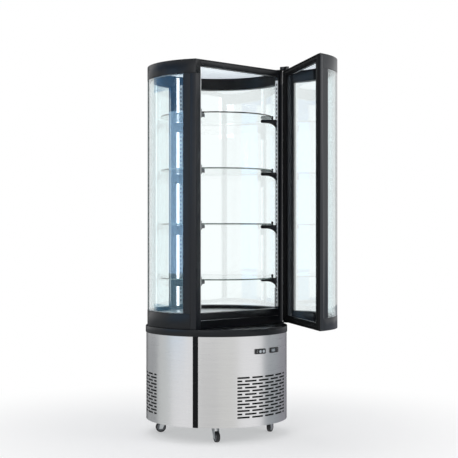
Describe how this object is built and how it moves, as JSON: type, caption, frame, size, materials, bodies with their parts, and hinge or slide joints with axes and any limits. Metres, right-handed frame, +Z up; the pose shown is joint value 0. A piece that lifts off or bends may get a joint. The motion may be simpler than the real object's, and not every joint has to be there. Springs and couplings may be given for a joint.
{
  "type": "refrigerated display case",
  "caption": "Round glass refrigerated display case: stainless machine base, glass tower with round shelves, and a deep curved glass door standing part open.",
  "frame": {"origin": "on the case's vertical axis at floor level", "axes": "+Z up, -Y toward the front, where the shut door's middle is, +X toward the hinge side; the door is stored part open as pictured"},
  "size_m": [0.68, 1.0019, 1.768],
  "materials": {
    "black_coated_metal": "satin black powder coat",
    "stainless_steel": "fine brushed",
    "clear_glass": "polished",
    "white_liner": "smooth white",
    "black_plastic": "moulded",
    "white_plastic": "smooth",
    "black_rubber": "moulded",
    "aluminium_fins": "bare",
    "black_steel": "gloss black",
    "grey_plastic": "moulded"
  },
  "bodies": {
    "case": {"base_frame": "stainless_steel", "base_panel_front": "stainless_steel", "base_panel_left": "stainless_steel", "base_panel_right": "stainless_steel", "seam_strip_left": "black_coated_metal", "seam_strip_right": "black_coated_metal", "seam_strip_rear": "black_coated_metal", "base_top_ring": "black_coated_metal", "insulated_floor": "white_liner", "floor_deck": "stainless_steel", "bottom_band": "black_coated_metal", "door_sill": "black_coated_metal", "post_left": "black_coated_metal", "post_right": "black_coated_metal", "post_rear": "black_coated_metal", "glass_left": "clear_glass", "glass_right": "clear_glass", "top_cap": "black_coated_metal", "header_rail": "black_coated_metal", "ceiling_panel": "white_liner", "led_lamp": "white_plastic", "shelf_rail_left": "black_coated_metal", "shelf_rail_right": "black_coated_metal", "shelf_rail_rear": "black_coated_metal", "glass_shelf_1": "clear_glass", "glass_shelf_2": "clear_glass", "glass_shelf_3": "clear_glass", "glass_shelf_4": "clear_glass", "sensor_lead": "black_plastic", "compressor": "black_steel", "condenser_coil": "aluminium_fins", "condenser_fan_housing": "black_steel", "evaporator_coil": "aluminium_fins", "evaporator_fan_housing": "black_steel", "drip_tray": "black_plastic", "power_inlet": "black_plastic", "control_plate": "black_plastic", "thermostat": "black_plastic", "hinge_leaf_upper": "black_coated_metal", "hinge_leaf_lower": "black_coated_metal"},
    "door": {"door_frame": "black_coated_metal", "door_top": "black_coated_metal", "door_bottom": "black_coated_metal", "door_glass": "clear_glass", "door_gasket": "black_rubber"},
    "condenser_fan": {"condenser_fan_blade": "grey_plastic"},
    "evaporator_fan": {"evaporator_fan_blade": "grey_plastic"},
    "switch": {"power_switch": "black_plastic"},
    "light_push": {"light_button": "white_plastic"},
    "defrost_push": {"defrost_button": "white_plastic"},
    "up_key": {"key_up": "black_plastic"},
    "down_key": {"key_down": "black_plastic"},
    "castor_1": {"castor_fork_1": "black_coated_metal"},
    "wheel_1": {"castor_wheel_1": "black_rubber"},
    "castor_2": {"castor_fork_2": "black_coated_metal"},
    "wheel_2": {"castor_wheel_2": "black_rubber"},
    "castor_3": {"castor_fork_3": "black_coated_metal"},
    "wheel_3": {"castor_wheel_3": "black_rubber"},
    "castor_4": {"castor_fork_4": "black_coated_metal"},
    "wheel_4": {"castor_wheel_4": "black_rubber"}
  },
  "joints": [
    {"name": "door_hinge", "type": "hinge", "parent": "case", "child": "door", "pos_m": [0.28752, -0.17, 0.521], "axis": [0, 0, 1], "range_deg": [-59.2, 60.8]},
    {"name": "condenser_fan_spin", "type": "hinge", "parent": "case", "child": "condenser_fan", "pos_m": [0, -0.1999, 0.1833], "axis": [0, -1, 0], "continuous": true},
    {"name": "evaporator_fan_spin", "type": "hinge", "parent": "case", "child": "evaporator_fan", "pos_m": [0, 0.0518, 0.5028], "axis": [0, -1, 0], "continuous": true},
    {"name": "power_switch_rock", "type": "hinge", "parent": "case", "child": "switch", "pos_m": [-0.06274, -0.33306, 0.416], "axis": [0.9921, -0.1253, 0], "range_deg": [-16, 0]},
    {"name": "light_button_press", "type": "slide", "parent": "case", "child": "light_push", "axis": [0.1253, 0.9921, 0], "range_m": [0, 0.002], "stiffness_N_per_m": 300},
    {"name": "defrost_button_press", "type": "slide", "parent": "case", "child": "defrost_push", "axis": [0.1253, 0.9921, 0], "range_m": [0, 0.002], "stiffness_N_per_m": 300},
    {"name": "key_up_press", "type": "slide", "parent": "case", "child": "up_key", "axis": [-0.1478, 0.989, 0], "range_m": [0, 0.001], "stiffness_N_per_m": 300},
    {"name": "key_down_press", "type": "slide", "parent": "case", "child": "down_key", "axis": [-0.1478, 0.989, 0], "range_m": [0, 0.001], "stiffness_N_per_m": 300},
    {"name": "castor_swivel_1", "type": "hinge", "parent": "case", "child": "castor_1", "pos_m": [0.17678, -0.17678, 0.071], "axis": [0, 0, 1], "continuous": true},
    {"name": "castor_roll_1", "type": "hinge", "parent": "castor_1", "child": "wheel_1", "pos_m": [0.19369, -0.17062, 0.02469], "axis": [-0.342, 0.9397, 0], "continuous": true},
    {"name": "castor_swivel_2", "type": "hinge", "parent": "case", "child": "castor_2", "pos_m": [0.17678, 0.17678, 0.071], "axis": [0, 0, 1], "continuous": true},
    {"name": "castor_roll_2", "type": "hinge", "parent": "castor_2", "child": "wheel_2", "pos_m": [0.18144, 0.19416, 0.02469], "axis": [-0.9659, 0.2588, 0], "continuous": true},
    {"name": "castor_swivel_3", "type": "hinge", "parent": "case", "child": "castor_3", "pos_m": [-0.17678, 0.17678, 0.071], "axis": [0, 0, 1], "continuous": true},
    {"name": "castor_roll_3", "type": "hinge", "parent": "castor_3", "child": "wheel_3", "pos_m": [-0.19057, 0.18835, 0.02469], "axis": [-0.6428, -0.766, 0], "continuous": true},
    {"name": "castor_swivel_4", "type": "hinge", "parent": "case", "child": "castor_4", "pos_m": [-0.17678, -0.17678, 0.071], "axis": [0, 0, 1], "continuous": true},
    {"name": "castor_roll_4", "type": "hinge", "parent": "castor_4", "child": "wheel_4", "pos_m": [-0.18293, -0.19369, 0.02469], "axis": [0.9397, -0.342, 0], "continuous": true}
  ]
}
